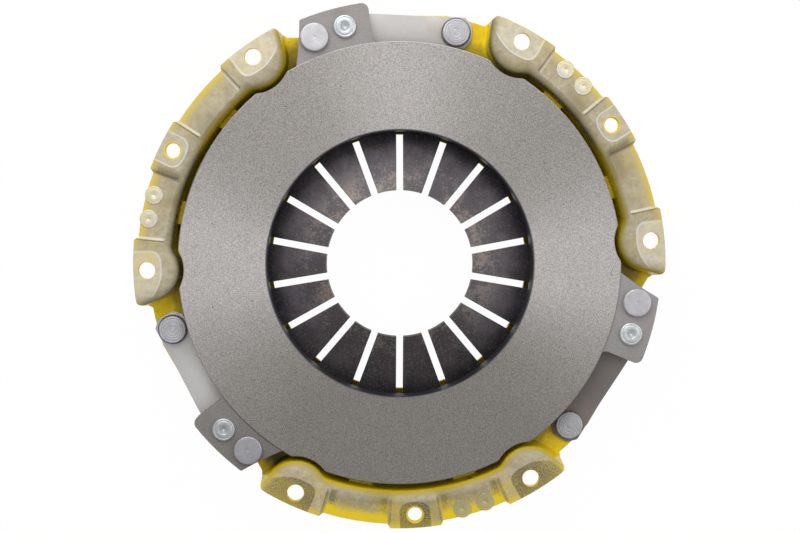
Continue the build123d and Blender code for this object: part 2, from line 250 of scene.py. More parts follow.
# %% [markdown]
# ## A ruler for round things
#
# The cover and the plate are laid out round one axis, so the masks need the distance from that
# axis, the height, and the angle from the nearest pad group's centre line. These values are
# the ruler that the paint, the wear and the ground face are all measured with.
#
# One more value, `lit`, is 1 over most of the object and sinks to 0 at its lower end. The
# photograph is darker there than soft lamps make it, so the finishes are painted a little
# darker by it. It goes by the place on the object, and stays when the camera moves.

# %% Radius, height and angle, in millimetres and degrees
class Ruler:
    """Distances on the object, in millimetres, for one finish."""

    def __init__(self, finish):
        node = finish.node("ShaderNodeSeparateXYZ", None, {0: finish.place()}).socket.node
        self.x, self.y, self.z = [Value(finish, node.outputs[n]) * 1000 for n in range(3)]
        self.radius = (self.x * self.x + self.y * self.y) ** 0.5
        turn = self.y.math("ARCTAN2", self.x) * degrees(1)
        self.group_turn = (turn + SECTOR / 2 - FIRST_GROUP).math("FLOORED_MODULO", SECTOR) - SECTOR / 2
        self.side_turn = abs(self.group_turn)
        self.lit = finish.fade(self.y / (self.radius + 1), -0.95, -0.3)

    def along(self, offset):
        """Distance along the circle from an angle that lies on both sides of each group's centre."""
        return (self.side_turn - offset) * self.radius * radians(1)


def edge_wear(finish, width):
    """Where an edge has been rubbed: the rounded normal turns away from the true one there."""
    rounded = finish.node("ShaderNodeBevel", {"samples": 6}, {"Radius": width * MM})
    true = finish.node("ShaderNodeNewGeometry", None, None, 1)
    turned = finish.node("ShaderNodeVectorMath", {"operation": "DOT_PRODUCT"}, {0: rounded, 1: true}, 1)
    return rounded, finish.fade(turned, 0.985, 0.9)


def relief(finish, height, depth, normal):
    """A bump of a given depth, in millimetres, on top of the rounded edges."""
    links = {"Height": height, "Distance": depth * MM, "Strength": 1.0, "Normal": normal}
    return finish.node("ShaderNodeBump", None, links)


print("one sector spans", SECTOR, "degrees")

# %% [markdown]
# ## The ground iron face
#
# A pressure plate is cast iron. Its front is ground flat and then blasted, which leaves an even
# warm grey with a fine grain. A thin highlight is painted along its upper rim, and its bore
# has a darker chamfer and a wall painted near black as shade.
# The lugs lie one millimetre lower and keep the darker skin of the casting. One material does
# both, with the height and the radius as its masks, so that no seam can slip.
#
# On such a face soft light gathers in broad lobes that point out from the axis. The scratches
# that do this are far too fine to model, so the lobes are painted: one to each side, and a
# weaker one at the top. They stay with the plate when the camera moves.

# %% Finish of the pressure plate
FINISHES = {}
PICTURE_TURN = 0.06
LOBE_POWER = 7


def add_finish(key, material):
    """Files a finished material under a short key, and says how many nodes it took."""
    FINISHES[key] = material
    print(f"{material.name}: {len(material.node_tree.nodes)} nodes")


def lobe(value):
    """1 where a direction runs straight along an axis, and close to 0 from 45 degrees off it."""
    return (value * value).math("MINIMUM", 1.0) ** LOBE_POWER


def plate_iron():
    finish = Finish("plate_iron")
    ruler = Ruler(finish)
    grain = finish.noise(1900.0, 3.0, 0.7)
    speckle = finish.fade(grain, 0.35, 0.65)
    across = (ruler.x - PICTURE_TURN * ruler.y) / ruler.radius
    upward = (ruler.y + PICTURE_TURN * ruler.x) / ruler.radius

    lobes = (0.8 * lobe(across)).math("MAXIMUM", 0.52 * lobe(upward) * ruler.lit)
    cloud = finish.fade(finish.noise(22.0, 3.0), 0.35, 0.65)
    light = 0.32 * ruler.lit + lobes - 0.06 * cloud
    ground = finish.mix(light, tone(134, 129, 124), tone(189, 184, 181))
    ground = finish.shade(ground, 0.68 + 0.64 * speckle)
    pits = finish.fade(finish.noise(420.0, 1.0), 0.235, 0.215)
    ground = finish.mix(pits * 0.5, ground, tone(84, 78, 76))

    skin_light = 0.7 * ruler.lit + 0.2 * lobe(across) + 0.35 * (speckle - 0.5)
    skin = finish.mix(skin_light, tone(118, 113, 108), tone(168, 163, 162))
    rusty = finish.fade(finish.noise(60.0, 4.0), 0.5, 0.75)
    skin = finish.mix(rusty * 0.25, skin, tone(118, 108, 100))
    face = finish.fade(ruler.z, LUG_TOP + 0.1, LUG_TOP + 0.4)
    face = face * finish.fade(ruler.radius, PLATE_RADIUS - 0.2, PLATE_RADIUS - 0.5)
    colour = finish.mix(face, skin, ground)

    # Painted highlight: a thin light line along the rim's step, only on the upper side.
    turned = finish.fade(abs(ruler.radius - PLATE_RADIUS + 0.2), 0.3, 0.12)
    turned = turned * finish.fade(ruler.z, LUG_TOP - 0.3, LUG_TOP + 0.2) * finish.fade(upward, 0.3, 0.8)
    colour = finish.mix(turned * finish.fade(grain, 0.25, 0.5) * 0.8, colour, tone(222, 220, 222))
    back = finish.fade(ruler.z, -4.4, -9.0)
    colour = finish.mix(back * 0.45, colour, tone(70, 62, 56))
    chamfer = finish.fade(ruler.radius, PLATE_BORE + 1.0, PLATE_BORE + 0.6)
    chamfer = chamfer * finish.fade(ruler.z, LUG_TOP - 0.6, LUG_TOP)
    colour = finish.mix(chamfer * 0.9, colour, tone(106, 109, 116))
    # Painted shade: the bore wall is painted near black, as shade falls in the bore.
    bore_wall_shade = finish.fade(ruler.radius, PLATE_BORE + 0.3, PLATE_BORE + 0.1)
    colour = finish.mix(bore_wall_shade * 0.9, colour, tone(44, 44, 50))
    rounded, worn = edge_wear(finish, 0.3)
    # Rubbed edges are lighter and fade out towards the bottom through lit: wear with painted light.
    worn = worn * (1 - back) * (1 - chamfer) * ruler.lit
    colour = finish.mix(worn * 0.3, colour, tone(200, 196, 192))
    finish.set(base_color=colour, roughness=0.6 - 0.14 * chamfer - 0.06 * speckle,
               metallic=0.3 + 0.1 * chamfer, normal=relief(finish, grain + 0.4 * speckle, 0.035, rounded))
    return finish.material


add_finish("plate", plate_iron())

# %% [markdown]
# ## Yellow paint that the flywheel has rubbed
#
# The cover is stamped from sheet steel and sprayed yellow. The paint is thick in the dish and
# thin on top of the pads, where it has been blasted and rubbed down to khaki and bare grey. So
# the recipe is a ladder: full yellow below, khaki above, bare flats round the holes, and yellow
# dust where the spray came over the outer rim. Each step of the ladder is one mask.
#
# All these marks share one ruler and three clouds of noise, and each is laid over the colour so
# far. A small class keeps them together, and each cell below adds one kind of mark. The sheet
# has two sides at the same place, and only its front is worn, so a mask tells them apart.

# %% A coat of paint that is built up mark by mark
CLOUDS, MOTTLE, FINE = 45.0, 260.0, 1300.0


def front_of_sheet(finish, ruler):
    """1 on the side of the dish that faces the flywheel, 0 on its back, which keeps its paint."""
    true = finish.node("ShaderNodeNewGeometry", None, None, 1)
    node = finish.node("ShaderNodeSeparateXYZ", None, {0: true}).socket.node
    across, upward, forward = [Value(finish, node.outputs[n]) for n in range(3)]
    outward = (across * ruler.x + upward * ruler.y) / ruler.radius
    return finish.fade(forward - outward.math("MINIMUM", 0.15), -0.05, 0.05)


def waver(cloud, reach):
    """A noise as an offset that swings about zero, by up to half its reach either way."""
    return reach * (cloud - 0.5)


class Paintwork(Finish):
    """A finish with a ruler, three clouds of noise, and one colour that grows mark by mark."""

    def __init__(self, name):
        super().__init__(name)
        self.ruler = Ruler(self)
        self.clouds = self.noise(CLOUDS, 3.0)
        self.mottle = self.noise(MOTTLE, 4.0, 0.7)
        self.fine = self.noise(FINE, 3.0, 0.7)
        self.lower = 1 - self.ruler.lit
        self.front = front_of_sheet(self, self.ruler)
        self.colour = None

    def blotchy(self, first, second):
        """Two tones of one paint, in patches of a few millimetres."""
        return self.mix(self.fade(self.mottle, 0.3, 0.7), first, second)

    def mark(self, mask, paint):
        """Lays a paint over the colour so far, where the mask says so."""
        self.colour = self.mix(mask, self.colour, paint)


print("blotches of about", [round(1000 / scale, 1) for scale in (CLOUDS, MOTTLE, FINE)], "mm")

# %% [markdown]
# The lowest step of the ladder is the line where the khaki gives way to yellow. It lies some
# 10 mm below the flange, wavers with all three clouds, and climbs where more spray landed: on
# one side of every group, and all along the lower one.

# %% Yellow below, khaki above, and the ragged line between
PAINT_LINE, SPRAY_CLIMB = -10.5, 5.3


def paint_ladder(coat):
    """Lays yellow and khaki. Gives the side that was sprayed more, and where the paint is thin."""
    ruler, lower = coat.ruler, coat.lower
    yellow = coat.blotchy(tone(238, 200, 6), tone(255, 228, 14))
    khaki = coat.blotchy(tone(166, 156, 131), tone(194, 184, 161))
    khaki = coat.mix(coat.fade(coat.clouds, 0.45, 0.7) * 0.4, khaki, tone(178, 164, 122))
    # Darker khaki on the lower group's pads: partly grime, partly painted shade.
    pad_dirt_and_shade = lower * coat.fade(ruler.side_turn, 22.0, 20.0) * coat.fade(ruler.radius, 129.0, 132.0)
    khaki = coat.mix(pad_dirt_and_shade * 0.38, khaki, tone(112, 100, 58))
    smudge = coat.fade(abs(ruler.side_turn - 9.0), 5.0, 2.0) * coat.fade(ruler.radius, 138.0, 131.0)
    smudge = smudge * coat.fade(coat.clouds + 0.4 * coat.mottle, 0.55, 0.85)
    khaki = coat.mix(smudge * 0.55, khaki, tone(122, 114, 84))
    sprayed = coat.fade(ruler.group_turn, 2.0, -8.0).math("MAXIMUM", lower)
    ragged = waver(coat.mottle, 3.5) + waver(coat.clouds, 3.0) + waver(coat.fine, 2.0)
    height = ruler.z + ragged - SPRAY_CLIMB * sprayed - 1.8 * lower
    thin = coat.fade(height, PAINT_LINE - 2, PAINT_LINE + 2) * coat.front
    coat.colour = coat.mix(thin, yellow, khaki)
    return sprayed, thin


def stain_walls(coat, sprayed, thin):
    """Lays the wall marks: olive haze and soot, both partly painted shade, yellow spray, and painted shade at
    the foot and low by the plate.
    """
    ruler, lower = coat.ruler, coat.lower
    # Olive haze high on the walls, partly painted shade: the lower group's walls face the light and get
    # little.
    olive_and_shade = coat.fade(ruler.z, -1.2, -6.0) * thin * (1 - 0.85 * lower)
    coat.mark(olive_and_shade * 0.5, tone(98, 92, 56))
    spray = coat.fade(coat.fine * 0.6 + coat.mottle * 0.6 + 0.22 * sprayed, 0.56, 0.78)
    coat.mark(spray * coat.fade(ruler.z, -1.0, -4.0) * thin * 0.75, tone(184, 162, 10))
    # Painted shade at the foot of each group, beside the plate's lug and the strap.
    foot_shade = coat.fade(ruler.group_turn, -31.0, -35.0) * coat.fade(ruler.z, -9.0, -13.0)
    foot_shade = foot_shade * coat.fade(ruler.radius + waver(coat.mottle, 5.0), 139.0, 130.0)
    foot_shade = foot_shade * coat.fade(ruler.z, -22.0, -21.0) * coat.front * (1 - 0.35 * ruler.lit)
    coat.mark(foot_shade * 0.95, tone(54, 45, 0))
    # Painted shade low on the shelf, close to the plate's rim.
    low_shade = coat.fade(ruler.radius + waver(coat.mottle, 4.0), 130.0, 125.5)
    low_shade = low_shade * coat.fade(ruler.z, -15.0, -18.0) * coat.front
    coat.mark(low_shade * 0.55, tone(122, 108, 20))
    tab = coat.fade(abs(ruler.side_turn - TAB_OFFSET), 3.3, 2.9) * coat.fade(ruler.z, -13.8, -14.2)
    # Soot specks on the walls, partly painted shade: fewer on the lower group, whose walls face the light.
    soot_and_shade = coat.fade(ruler.z, -2.8, -6.0) * coat.fade(ruler.z, -18.0, -12.0) * coat.front
    soot_and_shade = soot_and_shade * (1 - 0.6 * sprayed) * (1 - 0.3 * lower) * (1 - tab)
    specks = coat.fade(coat.fine + 0.3 * coat.mottle, 0.58, 0.78)
    coat.mark(soot_and_shade * specks * 0.85, tone(40, 36, 14))


print("khaki ends at", PAINT_LINE, "mm, and at", PAINT_LINE + SPRAY_CLIMB, "mm where more spray landed")

# %% [markdown]
# The flats round the holes were pressed against the flywheel. Seen from the front each is a
# rounded corner: a sum of two powers draws it, as a circle would with squares. A thin
# painted highlight runs along its edge, only where lit. The flats of the lower group are
# darker and speckled instead: partly grime, partly painted shade.

# %% Bare flats round the bolt and dowel holes
FLAT_REACH, FLAT_DEPTH = 10.5, 7.9
MIDDLE_REACH, MIDDLE_DEPTH = 8.6, 7.0


def outer_flat(ruler, along):
    """Below 1 on the flat round an outer hole, which runs out to the group's end."""
    to_end, to_middle = along.math("MAXIMUM", 0.0), (along * -1).math("MAXIMUM", 0.0)
    inward = (BOLT_CIRCLE - ruler.radius + 0.03 * to_end * to_end).math("MAXIMUM", 0.0)
    return ((to_middle / FLAT_REACH) ** 3 + (inward / FLAT_DEPTH) ** 3) ** (1 / 3)


def middle_flat(ruler, along):
    """The same for the smaller, D-shaped flat round a middle hole."""
    inward = (BOLT_CIRCLE - ruler.radius).math("MAXIMUM", 0.0)
    return ((abs(along) / MIDDLE_REACH) ** 2.6 + (inward / MIDDLE_DEPTH) ** 2.6) ** (1 / 2.6)


def rub_flats(coat):
    """Lays the flats and the painted highlight round them. Gives the flats."""
    ruler = coat.ruler
    on_top = coat.fade(ruler.z, -2.6, -0.8)
    by_middle = coat.fade(ruler.side_turn, 14.0, 12.0)
    outer = outer_flat(ruler, ruler.along(BOLT_OFFSET)) + 3 * by_middle
    nearest = outer.math("MINIMUM", middle_flat(ruler, ruler.along(0.0)))
    flat = coat.fade(nearest, 1.02, 0.96) * on_top
    edge_highlight = coat.fade(abs(nearest - 0.99), 0.075, 0.02) * on_top
    bare = coat.blotchy(tone(206, 197, 172), tone(226, 218, 198))
    yellowed = coat.fade(coat.clouds + 0.3 * coat.mottle, 0.6, 0.85)
    bare = coat.mix(yellowed * 0.5, bare, tone(232, 212, 138))
    # The lower group's flats: dark speckled grime, with painted shade as well.
    grimy_and_shaded = coat.mix(coat.fade(coat.fine, 0.35, 0.65), tone(62, 58, 42), tone(146, 132, 72))
    bare = coat.mix(coat.lower * 0.95, bare, grimy_and_shaded)
    coat.mark(flat * (0.85 - 0.4 * by_middle * ruler.lit), bare)
    # Painted highlight along the flat's edge, only where lit.
    coat.mark(edge_highlight * ruler.lit * 0.7, tone(232, 230, 224))
    return flat


print("an outer flat reaches", FLAT_REACH, "mm along and", FLAT_DEPTH, "mm in from its hole")

# %% [markdown]
# Between the holes each group steps down into two recesses. The step is a sharp stamped crease,
# too small for the light alone to show, so a bright and a dark line are painted beside it. The
# flank that faces the bottom of the picture gets painted shade, and so does the side of each
# step in the lower group. The flank's mask doesn't ask for the front of the sheet, so a narrow
# patch of painted shade shows on the back of the wall too.

# %% Creases at the recesses
RECESS_FROM, RECESS_TO = 6.2, 20.6


def crease_steps(coat, flat):
    """Lays the painted crease lines and the painted shade on the flank and steps. Gives the distance into a
    recess, in millimetres.
    """
    ruler, lower = coat.ruler, coat.lower
    into_recess = ruler.along(RECESS_FROM).math("MINIMUM", ruler.along(RECESS_TO) * -1)
    on_step = coat.fade(ruler.radius, 128.8, 129.6) * coat.fade(ruler.z, -3.2, -2.0)
    turn_down = ruler.group_turn * ruler.x.math("SIGN") * -1
    low_flank = coat.fade(turn_down, 3.4, 5.4) * coat.fade(turn_down, 12.0, 9.0) * (1 - lower)
    # Painted shade on the flank that faces the object's lower edge.
    flank_shade = low_flank * coat.fade(into_recess, 1.0, -0.2) * coat.fade(ruler.radius, 127.0, 130.0)
    flank_shade = flank_shade * coat.fade(ruler.radius + waver(coat.clouds, 5.0), 145.0, 139.0) * (1 - flat)
    coat.mark(flank_shade * (0.45 + 0.5 * coat.mottle), tone(92, 86, 58))
    dark = coat.fade(abs(into_recess + 1.3), 0.55, 0.25) * on_step
    coat.mark(dark * 0.65, tone(86, 80, 56))
    bright = coat.fade(abs(into_recess + 0.1), 0.9, 0.45) * on_step * (1 - 0.7 * low_flank)
    coat.mark(bright * (0.1 + 0.75 * ruler.lit), tone(228, 222, 206))
    # Painted shade beside each step of the lower group.
    step_shade = coat.fade(into_recess + waver(coat.mottle, 2.0), 5.5, 2.5) * coat.fade(into_recess, 0.2, 1.0)
    coat.mark(step_shade * on_step * lower * 0.6, tone(88, 80, 52))
    return into_recess


print("a recess runs from", RECESS_FROM, "to", RECESS_TO, "degrees off its group's middle")

# %% [markdown]
# The last marks are the dust of the spray over the outer rim, which is thicker in the recesses,
# and the yellow that is left in the mouths of the holes. The pin hole in each wall is paint
# too. A little of the paint's gloss stays wherever the paint does, as a thin clear coat.

# %% Dust, holes, and the cover's whole finish
def dust_rim(coat, into_recess, flat):
    """Lays the yellow dust: a rim of it, and loose specks further in."""
    ruler, lower = coat.ruler, coat.lower
    in_recess = coat.fade(into_recess, -0.6, 0.6)
    from_rim = PAD_RADIUS - (PAD_RADIUS - RECESS_RADIUS) * in_recess - ruler.radius
    from_rim = from_rim + waver(coat.mottle, 7.0) + waver(coat.fine, 9.0) + waver(coat.clouds, 4.0)
    rim = coat.fade(from_rim - (1.0 + 2.5 * lower) * in_recess, 4.8, -1.8) * (1 - 0.6 * flat)
    shoulder = coat.fade(ruler.radius, 134.0, 131.0)
    specks = coat.fade(coat.fine + 0.7 * coat.clouds, 0.75, 0.95) * (1 - 0.7 * shoulder)
    dust = specks * (0.15 + 0.35 * lower) + rim * (0.6 + 0.12 * in_recess + 0.25 * lower)
    dust = dust.math("MINIMUM", 1.0) * coat.fade(ruler.z, -8.0, -4.0)
    coat.mark(dust * (1 - 0.5 * flat), tone(240, 208, 26))


def line_holes(coat):
    """Lays yellow in the holes' mouths, and a pin hole in each wall. Gives the way to a hole."""
    ruler = coat.ruler
    inward = BOLT_CIRCLE - ruler.radius
    bolt_hole = (ruler.along(BOLT_OFFSET) ** 2 + inward ** 2) ** 0.5
    dowel_hole = (ruler.along(0.0) ** 2 + inward ** 2) ** 0.5
    mouths = coat.fade(bolt_hole, 4.85, 4.7).math("MAXIMUM", coat.fade(dowel_hole, 5.0, 4.7))
    coat.mark(mouths * 0.9, tone(246, 214, 20))
    pin_hole = ((ruler.group_turn - 14.7) * 2.2) ** 2 + (ruler.z + 8.0) ** 2
    pin_hole = coat.fade(pin_hole, 1.8, 0.9) * coat.fade(ruler.radius, 132.0, 130.0)
    coat.mark(pin_hole, tone(22, 20, 14))
    return bolt_hole.math("MINIMUM", dowel_hole)


def cover_paint():
    coat = Paintwork("cover_paint")
    sprayed, thin = paint_ladder(coat)
    stain_walls(coat, sprayed, thin)
    flat = rub_flats(coat)
    into_recess = crease_steps(coat, flat)
    dust_rim(coat, into_recess, flat)
    from_hole = line_holes(coat)
    rounded, worn = edge_wear(coat, 0.5)
    coat.mark(worn * thin * 0.3, tone(206, 200, 178))
    rings = (from_hole * 5.0 + 3.0 * coat.clouds).math("SINE")
    height = coat.mottle * 0.5 + coat.fine * 0.4 - 1.2 * flat + rings * 0.1 * flat
    paint_left = 1 - thin
    coat.set(base_color=coat.colour, roughness=0.52 - 0.2 * paint_left + 0.12 * coat.fine,
             metallic=0.15 * flat, normal=relief(coat, height, 0.07, rounded),
             coat_weight=0.15 * paint_left, coat_roughness=0.2)
    coat.shader.inputs["Specular IOR Level"].default_value = 0.3
    return coat.material


add_finish("cover", cover_paint())

# %% [markdown]
# ## Spring steel, hardened dark
#
# The diaphragm's fingers come out of the hardening furnace almost black, with blue patches and,
# near the tips where a bearing touches, brown ones. The noise isn't stretched in any
# direction: temper colours really are blotchy. The straps are a lighter, rolled spring
# steel that keeps a warm haze, so they get their own recipe.

# %% Finish of the diaphragm and of the straps
def spring_dark():
    finish = Finish("spring_steel")
    ruler = Ruler(finish)
    clouds = finish.noise(90.0, 5.0, 0.65)
    fine = finish.noise(900.0, 3.0, 0.6)
    near_tip = finish.fade(ruler.radius + 18 * (clouds - 0.5), 62.0, 46.0)
    colour = finish.mix(finish.fade(clouds, 0.35, 0.65), tone(72, 67, 71), tone(98, 92, 97))
    colour = finish.mix(near_tip * 0.2, colour, tone(118, 112, 113))
    tan_patch = finish.fade(clouds + 0.8 * fine, 0.9, 1.02) * near_tip
    colour = finish.mix(tan_patch * 0.55, colour, tone(160, 144, 128))
    blue_patch = finish.fade(finish.noise(60.0, 4.0, 0.6), 0.55, 0.72)
    colour = finish.mix(blue_patch * 0.3, colour, tone(78, 80, 98))
    # Painted shade: darker towards the bottom of the object.
    colour = finish.mix((1 - ruler.lit) * 0.5, colour, tone(46, 41, 39))
    # Painted shadow: near black where the fingers lie under the plate's bore.
    plate_shadow = finish.fade(ruler.radius, 64.0, 72.5)
    colour = finish.mix(plate_shadow * 0.6, colour, tone(30, 28, 32))
    colour = finish.mix(finish.fade(fine, 0.5, 0.7) * 0.3, colour, tone(136, 130, 130))
    rounded, worn = edge_wear(finish, 0.3)
    colour = finish.mix(worn * 0.25, colour, tone(120, 112, 110))
    finish.set(base_color=colour, roughness=0.42 + 0.2 * fine - 0.08 * near_tip, metallic=0.5,
               normal=relief(finish, fine + clouds, 0.03, rounded))
    return finish.material


def strap_steel():
    finish = Finish("strap_steel")
    ruler = Ruler(finish)
    haze = finish.noise(40.0, 2.0, 0.5)
    fine = finish.noise(2400.0, 2.0, 0.6)
    colour = finish.mix(finish.fade(fine, 0.25, 0.75), tone(190, 187, 184), tone(204, 201, 198))
    colour = finish.mix(finish.fade(haze, 0.5, 0.62) * 0.35, colour, tone(180, 164, 138))
    # Painted shade on the lower right, and painted light on the left.
    low_right_shade = finish.fade(ruler.x - ruler.y, 60.0, 180.0)
    colour = finish.mix(low_right_shade * 0.85, colour, tone(124, 114, 110))
    low_left_light = finish.fade(ruler.x, -60.0, -120.0)
    colour = finish.mix(low_left_light * 0.5, colour, tone(222, 222, 220))
    rounded, worn = edge_wear(finish, 0.15)
    colour = finish.mix(worn * 0.5, colour, tone(200, 196, 192))
    finish.set(base_color=colour, roughness=0.42 + 0.15 * fine, metallic=0.45,
               normal=relief(finish, fine, 0.01, rounded))
    return finish.material


add_finish("spring", spring_dark())
add_finish("strap", strap_steel())

# %% [markdown]
# ## Turned rivet steel
#
# Rivet heads and pins are turned or pressed steel, plated a cold silver. Light runs round on
# them in thin rings, one for each feed of the tool. Each turned piece below carries the
# distance from its own axis as an attribute, so that one finish can draw the rings on all.
# The plugs in the flange have caught some of the yellow spray, most of all near the rim. The
# washers and the wire ring are plain dark steel.

# %% Finishes of the turned pieces
COLD_GREY = tone(112, 112, 116)


def rivet_steel(name, bright, dark, rings_per_mm, ring_share, metallic=0.6, spray=0.0,
                grime_and_shade=0.45, grime_and_shade_tone=COLD_GREY):
    finish = Finish(name)
    ruler = Ruler(finish)
    out = finish.node("ShaderNodeAttribute", {"attribute_name": "from_axis"}, None, 2) * 1000
    haze = finish.noise(300.0, 3.0, 0.6)
    fine = finish.noise(2200.0, 2.0, 0.5)
    rings = (out * rings_per_mm * 2 * pi + 2.0 * haze).math("SINE") * 0.5 + 0.5
    colour = finish.mix(finish.fade(haze * 0.6 + fine * 0.4, 0.3, 0.7), dark, bright)
    colour = finish.mix(rings * ring_share, colour, tone(128, 128, 136))
    # Darker towards the bottom of the object: painted shade, and on the plugs yellowish grime as well.
    colour = finish.mix((1 - ruler.lit) * grime_and_shade, colour, grime_and_shade_tone)
    rounded, worn = edge_wear(finish, 0.2)
    colour = finish.mix(worn * 0.4, colour, tone(214, 216, 220))
    colour = finish.mix(finish.fade(ruler.radius, 134.0, 145.0) * spray, colour, tone(240, 222, 120))
    finish.set(base_color=colour, roughness=0.36 + 0.12 * fine, metallic=metallic,
               normal=relief(finish, rings + 0.3 * fine, 0.012, rounded))
    return finish.material


def dark_steel():
    finish = Finish("dark_steel")
    haze = finish.noise(200.0, 4.0, 0.6)
    colour = finish.mix(finish.fade(haze, 0.3, 0.7), tone(96, 92, 94), tone(128, 124, 126))
    rounded, worn = edge_wear(finish, 0.15)
    colour = finish.mix(worn * 0.4, colour, tone(150, 146, 146))
    finish.set(base_color=colour, roughness=0.4 + 0.2 * haze, metallic=0.5,
               normal=relief(finish, haze, 0.01, rounded))
    return finish.material


add_finish("bright", rivet_steel("rivet_bright", tone(226, 230, 232), tone(196, 202, 206), 3.0, 0.12))
add_finish("turned", rivet_steel("rivet_turned", tone(214, 212, 216), tone(194, 192, 197), 4.0, 0.14))
add_finish("ringed", rivet_steel("rivet_ringed", tone(232, 231, 235), tone(206, 205, 210), 1.6, 0.6,
                                 metallic=0.3, grime_and_shade=0.2))
add_finish("plug", rivet_steel("rivet_plug", tone(240, 236, 222), tone(222, 216, 196), 1.0, 0.04,
                               spray=0.5, grime_and_shade=0.7, grime_and_shade_tone=tone(168, 154, 88)))
add_finish("dark", dark_steel())

# %% [markdown]
# ## Dressing the CAD solids that stay
#
# The cover, the pressure plate, the washers and the wire ring already have their true shape.
# They keep their CAD mesh, and only their material slots are filled.

# %% Materials on the CAD nodes
def dress(node, finish):
    """Gives a CAD node one finish, whatever slots it came with."""
    slots = node.data.materials
    slots.clear()
    slots.append(FINISHES[finish])


dress(frame["nodes"]["cover"], "cover")
dress(frame["nodes"]["pressure_plate"], "plate")
dress(frame["nodes"]["fulcrum_ring"], "dark")
for number in range(1, GROUPS + 1):
    dress(frame["nodes"][f"strap_washer_{number}"], "dark")
print("dressed the solids that stay")

# %% [markdown]
# ## Hands for modelling
#
# An operator acts on whatever is selected, and loading the frame leaves everything selected.
# So each step starts from nothing, works on one new mesh, and picks faces or edges by where
# they are. These few helpers say that once.

# %% Helpers: start clean, pick by place, finish at the origin
def start_clean():
    if bpy.context.object and bpy.context.object.mode != "OBJECT":
        bpy.ops.object.mode_set(mode="OBJECT")
    bpy.ops.object.select_all(action="DESELECT")


def select_only(piece):
    start_clean()
    piece.select_set(True)
    bpy.context.view_layer.objects.active = piece


def pick(piece, kind, test):
    """In edit mode, selects the verts, edges or faces that pass a test, and nothing else."""
    bpy.ops.mesh.select_mode(type={"verts": "VERT", "edges": "EDGE", "faces": "FACE"}[kind])
    bpy.ops.mesh.select_all(action="DESELECT")
    mesh = bmesh.from_edit_mesh(piece.data)
    for part in getattr(mesh, kind):
        if test(part):
            part.select_set(True)
    mesh.select_flush_mode()
    bmesh.update_edit_mesh(piece.data)


def settle(piece, name, finish, smooth=35.0):
    """Ends the modelling of a piece: name, place in its mesh, shading and finish."""
    select_only(piece)
    bpy.ops.object.transform_apply(location=True, rotation=True, scale=True)
    bpy.ops.object.shade_smooth_by_angle(angle=radians(smooth))
    piece.name = name
    piece.data.name = name
    piece.data.materials.clear()
    piece.data.materials.append(FINISHES[finish])
    return piece


def copy_turned(piece, name, angle):
    """A copy with its own mesh, turned about the object's axis."""
    twin = piece.copy()
    twin.data = piece.data.copy()
    twin.name = twin.data.name = name
    bpy.context.scene.collection.objects.link(twin)
    twin.data.transform(Matrix.Rotation(radians(angle), 4, "Z"))
    return twin


print("helpers ready")

# %% [markdown]
# ## Turned pieces, drawn like on a lathe
#
# Rivets and pins are round about their own axis. The natural way is to start from a disc and
# pull its face up again and again, making it wider or narrower at each pull: extrude, then
# scale. A list of radius and height pairs is the turner's drawing of the piece. The first pair
# is the tail, the last ones are the head, with its rings and its dimple.

# %% Turning by extrude and scale
def turn_up(name, spot, profile, finish, sides=64):
    """A solid of revolution at a spot, from (radius, height) pairs, from its tail to its top."""
    start_clean()
    first_radius, first_height = profile[0]
    bpy.ops.mesh.primitive_circle_add(vertices=sides, radius=first_radius * MM, fill_type="NGON",
                                      location=(spot.x * MM, spot.y * MM, first_height * MM))
    piece = bpy.context.object
    centre = Vector((spot.x * MM, spot.y * MM, 0))
    bpy.ops.object.mode_set(mode="EDIT")
    bpy.ops.mesh.select_all(action="SELECT")
    for (radius, height), (wider, higher) in zip(profile, profile[1:]):
        bpy.ops.mesh.extrude_region_move(TRANSFORM_OT_translate={"value": (0, 0, (higher - height) * MM)})
        scale = wider / radius
        if scale != 1:
            bpy.ops.transform.resize(value=(scale, scale, 1), center_override=centre)
    bpy.ops.mesh.select_all(action="SELECT")
    bpy.ops.mesh.normals_make_consistent(inside=False)
    bpy.ops.object.mode_set(mode="OBJECT")
    settle(piece, name, finish)
    distance = piece.data.attributes.new("from_axis", "FLOAT", "POINT")
    reach = [hypot(v.co.x - centre.x, v.co.y - centre.y) for v in piece.data.vertices]
    distance.data.foreach_set("value", reach)
    return piece


def set_of_three(piece, node, body):
    """The piece and two copies, one for each group, each in the place of its CAD node."""
    for index in range(GROUPS):
        name = node.format(index + 1) + "_turned"
        twin = piece if index == 0 else copy_turned(piece, name, SECTOR * index)
        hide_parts(node.format(index + 1))
        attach(twin, body)


print("lathe ready")

# %% [markdown]
# The cover's strap rivets have a wide head with several rings and a small pip, where the
# riveting tool spun on them.

# %% Rivets that hold the straps to the cover
head_seat = SHELF + PACK + WASHER
cover_rivet_drawing = [
    (5.4, SHELF - SHEET - 2.2), (5.9, SHELF - SHEET - 2.05), (6.2, SHELF - SHEET - 1.6), (6.2, SHELF - SHEET),
    (4.0, SHELF - SHEET), (4.0, head_seat), (7.2, head_seat), (7.4, head_seat + 0.2),
    (7.4, head_seat + 2.3), (7.3, head_seat + 2.65), (7.0, head_seat + 2.85), (6.5, head_seat + 2.9),
    (6.35, head_seat + 2.72), (6.1, head_seat + 2.72), (5.95, head_seat + 3.0), (5.2, head_seat + 3.12),
    (5.05, head_seat + 2.98), (4.85, head_seat + 2.98), (4.7, head_seat + 3.14), (3.9, head_seat + 3.16),
    (3.75, head_seat + 3.02), (3.55, head_seat + 3.02), (3.4, head_seat + 3.16), (2.5, head_seat + 3.16),
    (2.35, head_seat + 3.0), (1.5, head_seat + 2.98), (1.3, head_seat + 3.12), (0.9, head_seat + 3.14),
    (0.75, head_seat + 2.95), (0.35, head_seat + 2.95), (0.2, head_seat + 3.05),
]
cover_rivet = turn_up("cover_rivet_1_turned", STRAP_START, cover_rivet_drawing, "ringed")
